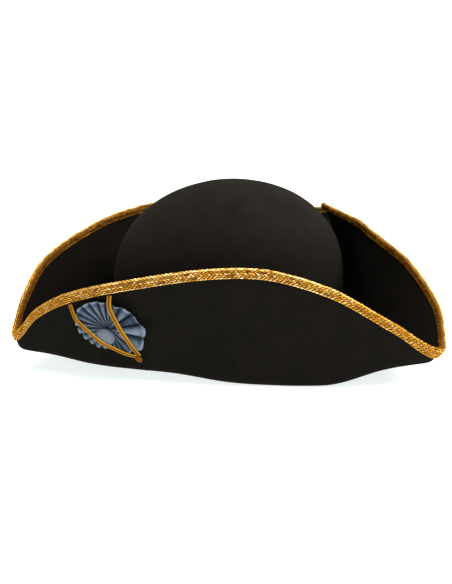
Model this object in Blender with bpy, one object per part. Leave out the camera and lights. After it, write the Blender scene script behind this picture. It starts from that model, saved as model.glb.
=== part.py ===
"""A cocked hat of black wool felt, its brim turned up on three sides.

The felt is one piece: a round crown and a brim that folds up into a left, a
right and a back flap. A flat metal braid is folded over the whole edge. On the
left flap sit a pleated ribbon cockade, its covered button, and a loop of cord
that runs from the braid down both sides of the button to a small knot.

Metres, +Z up. The front tip points to -X and the wearer's left is -Y.
"""

import math
from bisect import bisect_left
from collections import namedtuple

import bmesh
import bpy
from mathutils import Vector

# Felt
FELT = 0.0024
CROWN_LENGTH = 0.204
CROWN_WIDTH = 0.170
CROWN_WALL = 0.054
CROWN_DOME = 0.084
CROWN_SWELL = 0.0012
DOME_ROUNDNESS = 2.1
CROWN_FOOT_RISE = 0.004
CROWN_FILLET = 0.0050
FOLD_FILLET = 0.0075
TIP_FILLET = 0.0042

# Plan of the fold line, where the brim turns up
SIDE_FACING = math.radians(119.4)
SIDE_GUTTER = 0.0233
BACK_GUTTER = 0.0154
SIDE_BOW_RADIUS = 0.855
BACK_BOW_RADIUS = 1.26
TIP_SHARPNESS = 26

# Flaps
SIDE_FLAP = 0.0978
BACK_FLAP = 0.1130
FRONT_LIP = 0.0142
REAR_LIP = 0.0118
TIP_RISE = 0.0180
FLARE = 0.0160
PEAK_GAP = 0.0130
PEAK_BEND = 3
REST_FLAT = 0.0007

# Braid folded over the edge
BRAID = 0.0009
BRAID_OUTSIDE = 0.0078
BRAID_INSIDE = 0.0062
CLEARANCE = 0.0003
HEM = BRAID_OUTSIDE - BRAID - CLEARANCE

# Cockade on the left flap, an oval of pleated ribbon round a hub
COCKADE_WALK = 0.0866
COCKADE_UP = 0.0388
COCKADE_LENGTH = 0.0612
COCKADE_WIDTH = 0.0392
COCKADE_TURN = math.radians(-22)
COCKADE_PLEATS = 22
RIBBON = 0.0010
PLEAT_DEPTH = 0.0030
RIM_RIDGE = 0.0065
HUB_RADIUS = 0.0050
HUB_TOP = 0.0045

# Covered button over the hub
BUTTON_RADIUS = 0.0078
BUTTON_EDGE = 0.0012
BUTTON_DOME = 0.0036
BUTTON_AHEAD = 0.0020
BUTTON_DROP = 0.0050

# Loop cord and its knot
CORD_WIDTH = 0.0036
CORD_THICK = 0.0015
CORD_NARROWING = 0.30
KNOT_LENGTH = 0.0064
KNOT_WIDTH = 0.0056
KNOT_THICK = 0.0032

# Mesh fineness
SIDE_STEPS = 30
BACK_STEPS = 14
STEP_CROWDING = 0.72
NUDGE = 0.0004

# Half of the brim from the front tip round to the middle of the back. Along is
# a share of the flap, height of the flap less its lip, rise of TIP_RISE, flare
# of FLARE, and pinch of the way that the back's peak bends in to the crown.
Station = namedtuple("Station", "flap along height rise flare pinch")
STATIONS = (
    Station("side", 0.00, 0.00, 1.10, 0.28, 0.0),
    Station("side", 0.07, 0.27, 1.06, 0.42, 0.0),
    Station("side", 0.20, 0.61, 0.73, 0.82, 0.0),
    Station("side", 0.38, 0.82, 0.62, 0.49, 0.0),
    Station("side", 0.56, 1.00, 0.05, 0.00, 0.0),
    Station("side", 0.74, 0.84, 0.05, -0.05, 0.0),
    Station("side", 0.90, 0.28, 0.98, 0.24, 0.0),
    Station("side", 1.00, 0.00, 1.20, 0.56, 0.0),
    Station("back", 0.20, 0.32, 0.80, 1.00, 0.0),
    Station("back", 0.48, 0.65, 0.28, 0.70, 0.0),
    Station("back", 0.76, 0.83, 0.11, 0.00, 0.0),
    Station("back", 1.00, 1.00, 0.00, 0.00, 1.0),
)

# Rings of the felt from the crown's top out to the brim's edge: a stretch of
# the profile and the share of the way along it.
Ring = namedtuple("Ring", "stretch share")
RINGS = (
    [Ring("dome", n / 7) for n in range(1, 7)]
    + [Ring("wall", 0.0)]
    + [Ring("foot", n / 3) for n in range(4)]
    + [Ring("gutter", 0.5)]
    + [Ring("fold", n / 4) for n in range(5)]
    + [Ring("flap", share) for share in (0.33, 0.67, 1.0)]
    + [Ring("hem", share) for share in (1 - BRAID_INSIDE / BRAID_OUTSIDE, 1.0)]
)
STRETCHES = ("dome", "wall", "foot", "gutter", "fold", "flap", "hem")

# The loop's two legs from the braid to the knot, in shares of the cockade's
# length from its centre: along the flap to the rear, and up it. Each leg's first
# spot gives only its direction up to the braid's lower edge.
Spot = namedtuple("Spot", "along up")
KNOT_SPOT = Spot(0.389, -0.463)
FRONT_LEG = (
    Spot(-0.539, 0.220),
    Spot(-0.450, 0.099),
    Spot(-0.350, 0.005),
    Spot(-0.235, -0.084),
    Spot(-0.099, -0.173),
    Spot(0.047, -0.272),
    Spot(0.183, -0.361),
    Spot(0.326, -0.444),
)
REAR_LEG = (
    Spot(-0.027, 0.450),
    Spot(0.013, 0.314),
    Spot(0.049, 0.209),
    Spot(0.094, 0.115),
    Spot(0.155, -0.008),
    Spot(0.224, -0.141),
    Spot(0.291, -0.272),
    Spot(0.362, -0.401),
)
LEG_STEPS = 3


def mix(low, high, share):
    """The value a share of the way from low to high."""
    return low + (high - low) * share


def smooth_through(places, values, creased):
    """A curve through the values that never overshoots them.

    It is level at its start, and at its end too unless it ends in a crease.
    """
    gaps = [b - a for a, b in zip(places, places[1:])]
    slopes = [(b - a) / gap for a, b, gap in zip(values, values[1:], gaps)]
    tangents = [0.0] * len(places)
    for n in range(1, len(places) - 1):
        before, after = slopes[n - 1], slopes[n]
        if before * after > 0:
            near, far = 2 * gaps[n] + gaps[n - 1], gaps[n] + 2 * gaps[n - 1]
            tangents[n] = (near + far) / (near / before + far / after)
    if creased:
        tangents[-1] = slopes[-1]

    def value_at(place):
        n = min(max(bisect_left(places, place) - 1, 0), len(gaps) - 1)
        t = (place - places[n]) / gaps[n]
        return (
            (2 * t**3 - 3 * t**2 + 1) * values[n]
            + (t**3 - 2 * t**2 + t) * gaps[n] * tangents[n]
            + (3 * t**2 - 2 * t**3) * values[n + 1]
            + (t**3 - t**2) * gaps[n] * tangents[n + 1]
        )

    return value_at


# Crown

FOOT_LENGTH = (CROWN_LENGTH - FELT) / 2
FOOT_WIDTH = (CROWN_WIDTH - FELT) / 2
WALL_TOP = CROWN_FOOT_RISE + CROWN_WALL
DOME_HEIGHT = CROWN_DOME - FELT / 2


def crown_reach(angle):
    """From the crown's axis to its foot, in one direction."""
    across = FOOT_WIDTH * math.cos(angle)
    ahead = FOOT_LENGTH * math.sin(angle)
    return FOOT_LENGTH * FOOT_WIDTH / math.hypot(across, ahead)


def crown_support(angle):
    """How far the crown's foot reaches past its axis, square to a direction."""
    return math.hypot(FOOT_LENGTH * math.cos(angle), FOOT_WIDTH * math.sin(angle))


def dome_share(rise):
    """The dome's width at a height over its wall, as a share of its foot's."""
    share = min(rise / DOME_HEIGHT, 1.0)
    return (1 - share**DOME_ROUNDNESS) ** (1 / DOME_ROUNDNESS)


# Fold line: three bowed sides met smoothly at the tips


def bowed_side(reach, radius, turn):
    """From the axis to an arc that bows out at a reach, turned from its middle."""
    inset = radius - reach
    return math.sqrt(radius**2 - (inset * math.sin(turn)) ** 2) - inset * math.cos(turn)


def fold_reach(angle):
    """From the axis to the fold line, in one direction."""
    side = crown_support(SIDE_FACING) + SIDE_GUTTER
    back = FOOT_LENGTH + BACK_GUTTER
    sides = (
        bowed_side(side, SIDE_BOW_RADIUS, angle - SIDE_FACING),
        bowed_side(side, SIDE_BOW_RADIUS, angle + SIDE_FACING),
        bowed_side(back, BACK_BOW_RADIUS, angle),
    )
    return sum(reach**-TIP_SHARPNESS for reach in sides) ** (-1 / TIP_SHARPNESS)


def walk_the_fold(steps=3000):
    """Directions from the front tip to the back's middle, and the way walked."""
    angles = [math.pi * (1 - n / steps) for n in range(steps + 1)]
    walked = [0.0]
    reaches = [fold_reach(angle) for angle in angles]
    for n in range(steps):
        turn = angles[n] - angles[n + 1]
        step = math.hypot(reaches[n + 1] - reaches[n], reaches[n] * turn)
        walked.append(walked[-1] + step)
    rear = [n for n in range(steps + 1) if angles[n] < SIDE_FACING]
    corner = max(rear, key=lambda n: reaches[n])
    return angles, walked, walked[corner]


ANGLES, WALKED, REAR_TIP = walk_the_fold()
BACK_MIDDLE = WALKED[-1]
AROUND = 2 * BACK_MIDDLE


def station_place(row):
    """How far along the fold a station stands from the front tip."""
    if row.flap == "side":
        return REAR_TIP * row.along
    return mix(REAR_TIP, BACK_MIDDLE, row.along)


def station_height(row):
    """The flap's height at a station, over its fold."""
    if row.flap == "side":
        return mix(mix(FRONT_LIP, REAR_LIP, row.along), SIDE_FLAP, row.height)
    return mix(REAR_LIP, BACK_FLAP, row.height)


def peak_pinch():
    """How far the back's peak bends in past its fold, to stand beside the crown."""
    beside_crown = FOOT_LENGTH * dome_share(max(BACK_FLAP - WALL_TOP, 0.0)) + PEAK_GAP
    return fold_reach(0.0) - beside_crown


PLACES = [station_place(row) for row in STATIONS]
height_at = smooth_through(PLACES, [station_height(row) for row in STATIONS], True)
rise_at = smooth_through(PLACES, [TIP_RISE * row.rise for row in STATIONS], False)
flare_at = smooth_through(PLACES, [FLARE * row.flare for row in STATIONS], False)
pinch_at = smooth_through(PLACES, [peak_pinch() * row.pinch for row in STATIONS], True)


def direction_at(walk):
    """The direction of a place on the fold, from interpolated angles."""
    n = min(max(bisect_left(WALKED, walk), 1), len(WALKED) - 1)
    share = (walk - WALKED[n - 1]) / (WALKED[n] - WALKED[n - 1])
    return mix(ANGLES[n - 1], ANGLES[n], share)


def fillet(before, corner, after, radius, share):
    """A point on the arc that rounds a corner of the profile."""
    inward = (before - corner).normalized()
    outward = (after - corner).normalized()
    half = inward.angle(outward) / 2
    longest = 0.45 * min((before - corner).length, (after - corner).length)
    radius = min(radius, longest * math.tan(half))
    centre = corner + (inward + outward).normalized() * radius / math.sin(half)
    start = corner + inward * radius / math.tan(half) - centre
    end = corner + outward * radius / math.tan(half) - centre
    return centre + start.slerp(end, share) * radius


def flap_profile(walk, height):
    """A point up a flap, with the bend of the back's peak."""
    share = height / height_at(walk)
    out = fold_reach(direction_at(walk)) + flare_at(walk) * share
    return Vector((out - pinch_at(walk) * share**PEAK_BEND, rise_at(walk) + height))


def profile_point(walk, stretch, share):
    """A point of the felt's middle, as its distance from the axis and height."""
    angle = direction_at(walk)
    foot = crown_reach(angle)
    shoulder = foot + CROWN_SWELL
    if stretch == "dome":
        turn = math.pi / 2 * (1 - share)
        out = max(math.cos(turn), 0.0) ** (2 / DOME_ROUNDNESS)
        up = math.sin(turn) ** (2 / DOME_ROUNDNESS)
        return Vector((shoulder * out, WALL_TOP + DOME_HEIGHT * up))
    top = Vector((shoulder, WALL_TOP))
    base = Vector((foot, CROWN_FOOT_RISE))
    fold = Vector((fold_reach(angle), rise_at(walk)))
    height = height_at(walk)
    edge = fold + Vector((flare_at(walk), height))
    foot_start = fillet(top, base, fold, CROWN_FILLET, 0.0)
    foot_end = fillet(top, base, fold, CROWN_FILLET, 1.0)
    if stretch == "wall":
        return top.lerp(foot_start, share)
    if stretch == "foot":
        return fillet(top, base, fold, CROWN_FILLET, share)
    fullness = min(height / SIDE_FLAP, 1.0)
    radius = mix(TIP_FILLET, FOLD_FILLET, fullness)
    if stretch == "gutter":
        return foot_end.lerp(fillet(base, fold, edge, radius, 0.0), share)
    if stretch == "fold":
        return fillet(base, fold, edge, radius, share)
    start = fillet(base, fold, edge, radius, 1.0).y - fold.y
    hem = max(height - HEM, start + 0.1 * (height - start))
    if stretch == "flap":
        return flap_profile(walk, mix(start, hem, share))
    return flap_profile(walk, mix(hem, height, share))


def on_left(walk):
    """A place on the whole edge as one on its left half, and its side's sign."""
    walk %= AROUND
    if walk <= BACK_MIDDLE:
        return walk, -1
    return AROUND - walk, 1


def middle_point(walk, stretch, share):
    """A point of the felt's middle surface, anywhere round the hat."""
    place, side = on_left(walk)
    out, up = profile_point(place, stretch, share)
    angle = direction_at(place)
    return Vector((out * math.cos(angle), side * out * math.sin(angle), up))


def facing(along, outward):
    """The direction square to a surface, on its upper side."""
    return outward.cross(along).normalized()


def middle_normal(walk, stretch, share):
    """The felt's normal: up on the crown, towards the crown on the flaps."""
    step = 0.01
    n = STRETCHES.index(stretch)
    ahead = (stretch, share + step)
    behind = (stretch, share - step)
    if share + step > 1:
        ahead = (stretch, 1.0)
        if n + 1 < len(STRETCHES):
            ahead = (STRETCHES[n + 1], step)
    if share - step < 0:
        behind = (STRETCHES[n - 1], 1 - step)
    outward = middle_point(walk, *ahead) - middle_point(walk, *behind)
    along = middle_point(walk + NUDGE, stretch, share) - middle_point(walk - NUDGE, stretch, share)
    return facing(along, outward)


def flap_point(walk, up, off):
    """A point near a flap: up it from the fold, and off its middle outwards."""

    def middle(place, height):
        half, side = on_left(place)
        angle = direction_at(half)
        out, level = flap_profile(half, height)
        return Vector((out * math.cos(angle), side * out * math.sin(angle), level))

    along = middle(walk + NUDGE, up) - middle(walk - NUDGE, up)
    upward = middle(walk, up + NUDGE) - middle(walk, up - NUDGE)
    return middle(walk, up) - facing(along, upward) * off


def crowded_steps(start, end, count):
    """Places from start up to end, set closer together at both ends."""
    shares = [n / count for n in range(count)]
    eased = [s - STEP_CROWDING * math.sin(2 * math.pi * s) / (2 * math.pi) for s in shares]
    return [mix(start, end, share) for share in eased]


LEFT_HALF = crowded_steps(0.0, REAR_TIP, SIDE_STEPS) + crowded_steps(REAR_TIP, BACK_MIDDLE, BACK_STEPS)
WALKS = LEFT_HALF + [BACK_MIDDLE] + [AROUND - walk for walk in reversed(LEFT_HALF[1:])]


# Meshes


def plain_material(name, color, roughness, metallic):
    """A Principled material of one colour."""
    material = bpy.data.materials.new(name)
    material.use_nodes = True
    shader = material.node_tree.nodes["Principled BSDF"]
    shader.inputs["Base Color"].default_value = (*color, 1.0)
    shader.inputs["Roughness"].default_value = roughness
    shader.inputs["Metallic"].default_value = metallic
    return material


def add_piece(name, model, material, hat):
    """An object made from a finished bmesh, parented to the hat."""
    bmesh.ops.recalc_face_normals(model, faces=model.faces)
    mesh = bpy.data.meshes.new(name)
    model.to_mesh(mesh)
    model.free()
    mesh.materials.append(material)
    mesh.shade_smooth()
    mesh.set_sharp_from_angle(angle=math.radians(40))
    piece = bpy.data.objects.new(name, mesh)
    bpy.context.scene.collection.objects.link(piece)
    piece.parent = hat
    return piece


def ring_of(model, points):
    """New vertices for a closed row of points."""
    return [model.verts.new(point) for point in points]


def skin_rings(model, rings):
    """Faces between each ring of vertices and the next.

    They are split alike in every skin and mirrored from the left half to the
    right, so that two skins that lie close together, felt and braid, stay apart.
    """
    for ring, other in zip(rings, rings[1:]):
        for n in range(len(ring)):
            after = (n + 1) % len(ring)
            if n < len(ring) // 2:
                model.faces.new((ring[n], ring[after], other[n]))
                model.faces.new((ring[after], other[after], other[n]))
            else:
                model.faces.new((ring[n], ring[after], other[after]))
                model.faces.new((ring[n], other[after], other[n]))


def close_to_point(model, point, ring):
    """A fan of triangles from one point to a ring."""
    pole = model.verts.new(point)
    for n in range(len(ring)):
        model.faces.new((pole, ring[n], ring[(n + 1) % len(ring)]))


def felt_face(side):
    """The rings of points of one face of the felt: 1 is the upper, -1 the lower."""
    face = []
    for ring in RINGS:
        offsets = [middle_normal(walk, *ring) * side * FELT / 2 for walk in WALKS]
        face.append([middle_point(walk, *ring) + off for walk, off in zip(WALKS, offsets)])
    return face


def build_felt(hat, upper, lower, floor):
    """The crown and brim, pressed flat where they rest on the floor."""
    model = bmesh.new()
    pressed = [[Vector((p.x, p.y, max(p.z, floor))) for p in ring] for ring in lower]
    outer = [ring_of(model, points) for points in upper]
    inner = [ring_of(model, points) for points in pressed]
    skin_rings(model, outer)
    skin_rings(model, inner)
    skin_rings(model, [outer[-1], inner[-1]])
    crown_top = WALL_TOP + DOME_HEIGHT
    close_to_point(model, (0, 0, crown_top + FELT / 2), outer[0])
    close_to_point(model, (0, 0, crown_top - FELT / 2), inner[0])
    felt = plain_material("wool_felt", (0.010, 0.009, 0.008), 0.95, 0.0)
    return add_piece("felt_hat", model, felt, hat)


def braid_corners(walk):
    """The corners of the braid's folded section, as places up and off the flap."""
    edge = height_at(on_left(walk)[0])
    near = FELT / 2 + CLEARANCE
    far = near + BRAID
    over = edge + CLEARANCE
    outside = over + BRAID - BRAID_OUTSIDE
    inside = over + BRAID - BRAID_INSIDE
    return (
        (outside, far),
        (over + BRAID, far),
        (over + BRAID, -far),
        (inside, -far),
        (inside, -near),
        (over, -near),
        (over, near),
        (outside, near),
    )


def build_braid(hat):
    """The metal braid, folded over the brim's whole edge."""
    model = bmesh.new()
    sections = [braid_corners(walk) for walk in WALKS]
    lines = []
    for corner in range(len(sections[0])):
        places = [(walk, *section[corner]) for walk, section in zip(WALKS, sections)]
        lines.append(ring_of(model, [flap_point(*place) for place in places]))
    for corner, line in enumerate(lines):
        before = lines[corner - 1]
        climbs = sections[0][corner][0] > sections[0][corner - 1][0]
        skin_rings(model, [before, line] if climbs else [line, before])
    gold = plain_material("gold_braid", (0.60, 0.33, 0.03), 0.35, 0.8)
    return add_piece("edge_braid", model, gold, hat)


# Cockade, placed by distances from its centre along and up the left flap


def flap_grain():
    """How the flap's places lie at the cockade, which keeps its true lengths.

    Returns the length of one walked metre there, and how far a metre up the flap
    goes along it and square to that.
    """

    def middle(walk, up):
        return flap_point(COCKADE_WALK + walk, COCKADE_UP + up, FELT / 2)

    along = (middle(NUDGE, 0) - middle(-NUDGE, 0)) / (2 * NUDGE)
    upward = (middle(0, NUDGE) - middle(0, -NUDGE)) / (2 * NUDGE)
    slant = upward.dot(along.normalized())
    return along.length, slant, math.sqrt(upward.length_squared - slant**2)


STRETCH, SLANT, CLIMB = flap_grain()


def cockade_place(along, up):
    """The walk and the height on the flap of a point of the cockade's plane."""
    raised = up / CLIMB
    return COCKADE_WALK + (along - SLANT * raised) / STRETCH, COCKADE_UP + raised


def on_cockade(along, up, lift):
    """A point over the left flap, from the cockade's centre and off the felt."""
    return flap_point(*cockade_place(along, up), FELT / 2 + lift)


def oval_point(share, turn):
    """Along and up of a point in the cockade's oval."""
    ahead = share * COCKADE_LENGTH / 2 * math.cos(turn)
    across = share * COCKADE_WIDTH / 2 * math.sin(turn)
    tilt_cos, tilt_sin = math.cos(COCKADE_TURN), math.sin(COCKADE_TURN)
    return ahead * tilt_cos - across * tilt_sin, ahead * tilt_sin + across * tilt_cos


def oval_share(along, up):
    """How far out in the oval a point lies: 0 at the centre, 1 at the rim."""
    tilt_cos, tilt_sin = math.cos(COCKADE_TURN), math.sin(COCKADE_TURN)
    ahead = (along * tilt_cos + up * tilt_sin) / (COCKADE_LENGTH / 2)
    across = (up * tilt_cos - along * tilt_sin) / (COCKADE_WIDTH / 2)
    return math.hypot(ahead, across)


def ridge_top(share):
    """The height of the pleats' ridges over the felt."""
    return mix(HUB_TOP, RIM_RIDGE, max(share, 0.0) ** 2)


def build_cockade(hat):
    """The pleated ribbon: a sheet that ripples towards its rim, round a hub."""
    model = bmesh.new()
    hub_share = HUB_RADIUS / (COCKADE_WIDTH / 2)
    shares = (hub_share, mix(hub_share, 1.0, 0.15), mix(hub_share, 1.0, 0.55), 1.0)
    points_per_pleat = 4
    count = COCKADE_PLEATS * points_per_pleat

    def fold_depth(share, n):
        wave = 0.5 - 0.5 * math.cos(2 * math.pi * n / points_per_pleat)
        return PLEAT_DEPTH * wave * min(1.0, (share - hub_share) / (0.6 - hub_share))

    def row(share, height):
        spots = [oval_point(share, 2 * math.pi * n / count) for n in range(count)]
        return ring_of(model, [on_cockade(*spot, height(share, n)) for n, spot in enumerate(spots)])

    def top_height(share, n):
        return ridge_top(share) - fold_depth(share, n)

    def under_height(share, n):
        if share == hub_share:
            return CLEARANCE
        return top_height(share, n) - RIBBON

    tops = [row(share, top_height) for share in shares]
    unders = [row(share, under_height) for share in shares]
    skin_rings(model, tops)
    skin_rings(model, unders)
    skin_rings(model, [tops[-1], unders[-1]])
    close_to_point(model, on_cockade(0, 0, HUB_TOP), tops[0])
    close_to_point(model, on_cockade(0, 0, CLEARANCE), unders[0])
    ribbon = plain_material("cockade_silk", (0.13, 0.18, 0.27), 0.6, 0.0)
    return add_piece("cockade_ribbon", model, ribbon, hat)


BUTTON_SPOT = Vector((-BUTTON_AHEAD, -BUTTON_DROP))
BUTTON_REACH = BUTTON_SPOT.length + BUTTON_RADIUS
BUTTON_FOOT = ridge_top(min(BUTTON_REACH / (COCKADE_WIDTH / 2), 1.0)) + CLEARANCE


def button_top(away):
    """The button's top over the felt at a distance from its middle."""
    share = min(away / BUTTON_RADIUS, 1.0)
    return BUTTON_FOOT + BUTTON_EDGE + BUTTON_DOME * math.sqrt(1 - share**2)


def build_button(hat):
    """The covered button: a flat back, a short edge and a low dome."""
    model = bmesh.new()
    sides = 16

    def row(radius, height):
        turns = [2 * math.pi * n / sides for n in range(sides)]
        around = [Vector((math.cos(turn), math.sin(turn))) * radius for turn in turns]
        return ring_of(model, [on_cockade(*(BUTTON_SPOT + spot), height) for spot in around])

    rings = [row(BUTTON_RADIUS * 0.94, BUTTON_FOOT), row(BUTTON_RADIUS, BUTTON_FOOT + BUTTON_EDGE)]
    for share in (0.9, 0.68, 0.36):
        rings.append(row(BUTTON_RADIUS * share, button_top(BUTTON_RADIUS * share)))
    skin_rings(model, rings)
    close_to_point(model, on_cockade(*BUTTON_SPOT, BUTTON_FOOT), rings[0])
    close_to_point(model, on_cockade(*BUTTON_SPOT, button_top(0)), rings[-1])
    silk = plain_material("button_silk", (0.17, 0.19, 0.25), 0.6, 0.0)
    return add_piece("cockade_button", model, silk, hat)


# Loop


def cover_height(along, up):
    """The top of whatever lies under the loop, over the felt."""
    reach = CORD_WIDTH * 0.7
    tops = [0.0]
    if oval_share(along, up) < 1 + reach / (COCKADE_WIDTH / 2):
        tops.append(ridge_top(min(oval_share(along, up) + 0.1, 1.0)))
    away = max((Vector((along, up)) - BUTTON_SPOT).length - reach, 0.0)
    if away < BUTTON_RADIUS:
        tops.append(button_top(away))
    return max(tops)


def below_braid(start, toward):
    """Where a leg meets the braid's lower edge, on its line from a first spot."""
    low, high = -1.0, 1.0
    for _ in range(30):
        share = (low + high) / 2
        walk, up = cockade_place(*start.lerp(toward, share))
        under = braid_corners(walk)[0][0] - CORD_WIDTH / 3
        low, high = (share, high) if up > under else (low, share)
    return start.lerp(toward, high)


def leg_course(spots):
    """A leg's points along and up the flap, from its chosen spots, as a curve."""
    scaled = [Vector((spot.along, spot.up)) * COCKADE_LENGTH for spot in spots]
    scaled[0] = below_braid(scaled[0], scaled[1])
    before = [scaled[0] * 2 - scaled[1]] + scaled[:-1]
    after = scaled[1:] + [scaled[-1] * 2 - scaled[-2]]
    course = []
    for n in range(len(scaled) - 1):
        start, end = scaled[n], scaled[n + 1]
        leave = (after[n] - before[n]) / 2
        arrive = (after[n + 1] - before[n + 1]) / 2
        for step in range(LEG_STEPS):
            t = step / LEG_STEPS
            course.append(
                start * (2 * t**3 - 3 * t**2 + 1)
                + leave * (t**3 - 2 * t**2 + t)
                + end * (3 * t**2 - 2 * t**3)
                + arrive * (t**3 - t**2)
            )
    return course + [scaled[-1]]


def build_leg(hat, name, spots, gold):
    """One leg of the loop: a flat cord laid over the cockade."""
    model = bmesh.new()
    course = leg_course(spots)
    covers = [cover_height(*spot) for spot in course]
    last = len(course) - 1
    rings = []
    for n, spot in enumerate(course):
        ahead = (course[min(n + 1, last)] - course[max(n - 1, 0)]).normalized()
        aside = Vector((-ahead.y, ahead.x))
        width = CORD_WIDTH * (1 - CORD_NARROWING * max(4 * n / last - 3, 0.0))
        low = max(covers[max(n - 1, 0):n + 2]) + CLEARANCE
        high = low + CORD_THICK
        middle = (low + high) / 2
        section = (
            (-0.5, middle),
            (-0.32, low),
            (0.32, low),
            (0.5, middle),
            (0.32, high),
            (-0.32, high),
        )
        across = [(spot + aside * width * share, lift) for share, lift in section]
        rings.append(ring_of(model, [on_cockade(*place, lift) for place, lift in across]))
    skin_rings(model, rings)
    model.faces.new(rings[0])
    model.faces.new(rings[-1])
    return add_piece(name, model, gold, hat)


def build_knot(hat, gold):
    """The knot at the loop's foot, a small rounded lump on the felt."""
    model = bmesh.new()
    sides = 10
    spot = Vector((KNOT_SPOT.along, KNOT_SPOT.up)) * COCKADE_LENGTH
    ahead = Vector((1.0, -1.0)).normalized()
    aside = Vector((-ahead.y, ahead.x))

    def row(share, level):
        ring = []
        for n in range(sides):
            turn = 2 * math.pi * n / sides
            place = spot + ahead * share * KNOT_LENGTH / 2 * math.cos(turn)
            place += aside * share * KNOT_WIDTH / 2 * math.sin(turn)
            ring.append(on_cockade(*place, CLEARANCE + KNOT_THICK * level))
        return ring_of(model, ring)

    rings = [row(0.7, 0.0), row(1.0, 0.4), row(0.7, 0.85)]
    skin_rings(model, rings)
    model.faces.new(rings[0])
    close_to_point(model, on_cockade(*spot, CLEARANCE + KNOT_THICK), rings[-1])
    return add_piece("loop_knot", model, gold, hat)


def main():
    """Build the hat in an empty scene, stood on the floor over its own middle."""
    for thing in list(bpy.data.objects):
        bpy.data.objects.remove(thing)
    hat = bpy.data.objects.new("hat", None)
    bpy.context.scene.collection.objects.link(hat)

    upper, lower = felt_face(1), felt_face(-1)
    floor = min(point.z for ring in lower for point in ring) + REST_FLAT
    build_felt(hat, upper, lower, floor)
    braid = build_braid(hat)
    build_cockade(hat)
    build_button(hat)
    cord = plain_material("loop_cord", (0.62, 0.30, 0.03), 0.4, 0.7)
    build_leg(hat, "loop_cord_front", FRONT_LEG, cord)
    build_leg(hat, "loop_cord_rear", REAR_LEG, cord)
    build_knot(hat, cord)

    lengths = [vertex.co.x for vertex in braid.data.vertices]
    hat.location = (-(min(lengths) + max(lengths)) / 2, 0, -floor)


main()
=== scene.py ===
"""Dresses the tricorne hat: wool felt, woven gold braid, pleated cockade, button and cord loop.

Metres, +Z up. The front tip points to -X and the wearer's left, with the cockade, is -Y.
"""

import logging
import math
from collections.abc import Callable, Sequence
from dataclasses import dataclass, field
from enum import Enum
from typing import NamedTuple

import bmesh
import bpy
import numpy as np
from mathutils import Matrix, Vector
from mathutils.bvhtree import BVHTree


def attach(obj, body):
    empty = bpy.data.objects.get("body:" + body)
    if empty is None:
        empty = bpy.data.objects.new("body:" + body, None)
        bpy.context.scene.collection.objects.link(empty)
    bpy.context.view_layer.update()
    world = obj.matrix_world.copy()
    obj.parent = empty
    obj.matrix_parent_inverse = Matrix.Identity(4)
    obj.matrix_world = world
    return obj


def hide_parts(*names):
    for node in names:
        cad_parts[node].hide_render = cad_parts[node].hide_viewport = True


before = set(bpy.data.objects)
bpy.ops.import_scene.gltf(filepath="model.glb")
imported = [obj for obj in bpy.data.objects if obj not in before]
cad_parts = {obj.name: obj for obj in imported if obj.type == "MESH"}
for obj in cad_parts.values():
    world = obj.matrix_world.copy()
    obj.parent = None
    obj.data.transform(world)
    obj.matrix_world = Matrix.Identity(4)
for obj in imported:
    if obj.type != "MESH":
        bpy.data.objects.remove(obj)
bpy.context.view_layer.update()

log = logging.getLogger("tricorne")

Colour = tuple[float, float, float]
BODY = "root"
MM = 0.001
WELD = 0.01 * MM


# Shader trees


class Wire:
    """An output of a material's node tree that Python's own operators work on."""

    def __init__(self, bench: "Bench", socket: bpy.types.NodeSocket) -> None:
        """Wraps a socket of the bench's tree."""
        self.bench = bench
        self.socket = socket

    def _maths(self, operation: str, *values: "Wire | float") -> "Wire":
        """A Math node on the values."""
        return self.bench.node("ShaderNodeMath", {"operation": operation}, dict(enumerate(values)))

    def __add__(self, other: "Wire | float") -> "Wire":
        """The sum."""
        return self._maths("ADD", self, other)

    def __sub__(self, other: "Wire | float") -> "Wire":
        """The difference."""
        return self._maths("SUBTRACT", self, other)

    def __rsub__(self, other: float) -> "Wire":
        """The difference, from a number."""
        return self._maths("SUBTRACT", other, self)

    def __mul__(self, other: "Wire | float") -> "Wire":
        """The product."""
        return self._maths("MULTIPLY", self, other)

    __radd__ = __add__
    __rmul__ = __mul__

    def size(self) -> "Wire":
        """The value without its sign."""
        return self._maths("ABSOLUTE", self)

    def wave(self) -> "Wire":
        """The sine of a value in radians."""
        return self._maths("SINE", self)


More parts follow.
